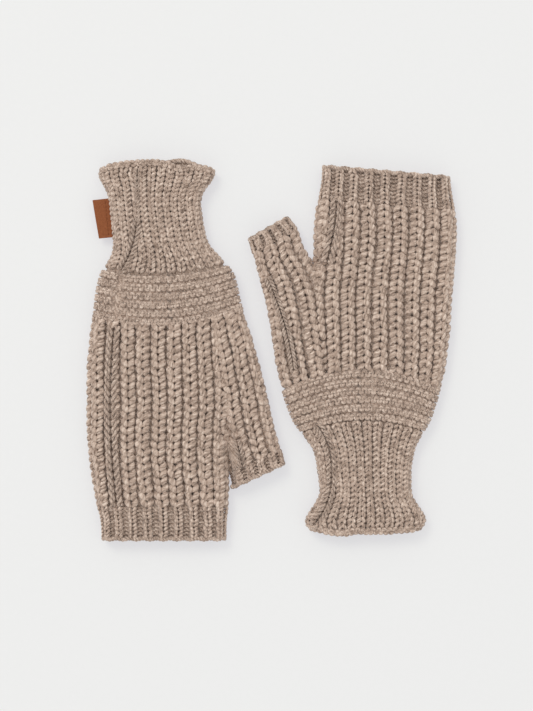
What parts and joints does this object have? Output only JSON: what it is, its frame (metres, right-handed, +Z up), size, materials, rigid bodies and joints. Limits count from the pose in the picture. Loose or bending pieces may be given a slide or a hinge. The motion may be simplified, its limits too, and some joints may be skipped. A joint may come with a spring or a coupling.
{
  "type": "pair of fingerless gloves",
  "caption": "Pair of chunky knitted fingerless gloves lying flat, with ribbed cuffs, garter-stitch wrist bands, open thumbs and a small folded label.",
  "frame": {"origin": "middle of the pair's bounding box, on the surface that the gloves lie on", "axes": "+X to the right across both gloves, +Y up the page along the gloves, +Z up from the surface; the left glove's fingers point to -Y and the right glove's to +Y"},
  "size_m": [0.2288, 0.237, 0.0127],
  "materials": {
    "wool": "chunky beige wool knit, slightly fuzzy, with mixed lighter and darker fibres",
    "seam_yarn": "the same wool, worked as a sewn seam",
    "label_leather": "smooth brown leather tag with a fine grain",
    "label_thread": "fine brown sewing thread"
  },
  "bodies": {
    "left_glove": {"left_garter_band": "wool", "left_hand": "wool", "left_finger_welt": "wool", "left_side_seam": "seam_yarn"},
    "left_thumb_sleeve": {"left_thumb": "wool", "left_thumb_welt": "wool", "left_thumb_seam": "seam_yarn"},
    "left_cuff": {"left_cuff_edge": "wool", "left_cuff_rib": "wool", "left_cuff_seam": "seam_yarn"},
    "left_tag": {"left_label": "label_leather", "left_label_stitches": "label_thread"},
    "right_glove": {"right_garter_band": "wool", "right_hand": "wool", "right_finger_welt": "wool", "right_side_seam": "seam_yarn", "right_thumb_seam": "seam_yarn"},
    "right_thumb_sleeve": {"right_thumb": "wool", "right_thumb_welt": "wool"},
    "right_cuff": {"right_cuff_edge": "wool", "right_cuff_rib": "wool", "right_cuff_seam": "seam_yarn"}
  },
  "joints": [
    {"name": "right_glove_lift", "type": "slide", "parent": "left_glove", "child": "right_glove", "axis": [0, 0, 1], "range_m": [0, 0.2]},
    {"name": "left_thumb_swing", "type": "hinge", "parent": "left_glove", "child": "left_thumb_sleeve", "pos_m": [-0.0109, -0.054, 0.006], "axis": [0, 0, 1], "range_deg": [0, 40], "stiffness_Nm_per_rad": 0.005},
    {"name": "right_thumb_swing", "type": "hinge", "parent": "right_glove", "child": "right_thumb_sleeve", "pos_m": [0.0067, 0.0563, 0.006], "axis": [0, 0, 1], "range_deg": [-20, 30], "stiffness_Nm_per_rad": 0.005},
    {"name": "left_cuff_fold", "type": "hinge", "parent": "left_glove", "child": "left_cuff", "pos_m": [-0.0697, 0.0472, 0.0125], "axis": [1, 0, 0], "range_deg": [0, 165]},
    {"name": "right_cuff_fold", "type": "hinge", "parent": "right_glove", "child": "right_cuff", "pos_m": [0.0583, -0.044, 0.0125], "axis": [-1, 0, 0], "range_deg": [0, 165]},
    {"name": "left_label_flap", "type": "hinge", "parent": "left_cuff", "child": "left_tag", "pos_m": [-0.09983, 0.0825, 0.006], "axis": [-0.1045, 0.9945, 0], "range_deg": [-25, 75], "stiffness_Nm_per_rad": 0.002}
  ]
}
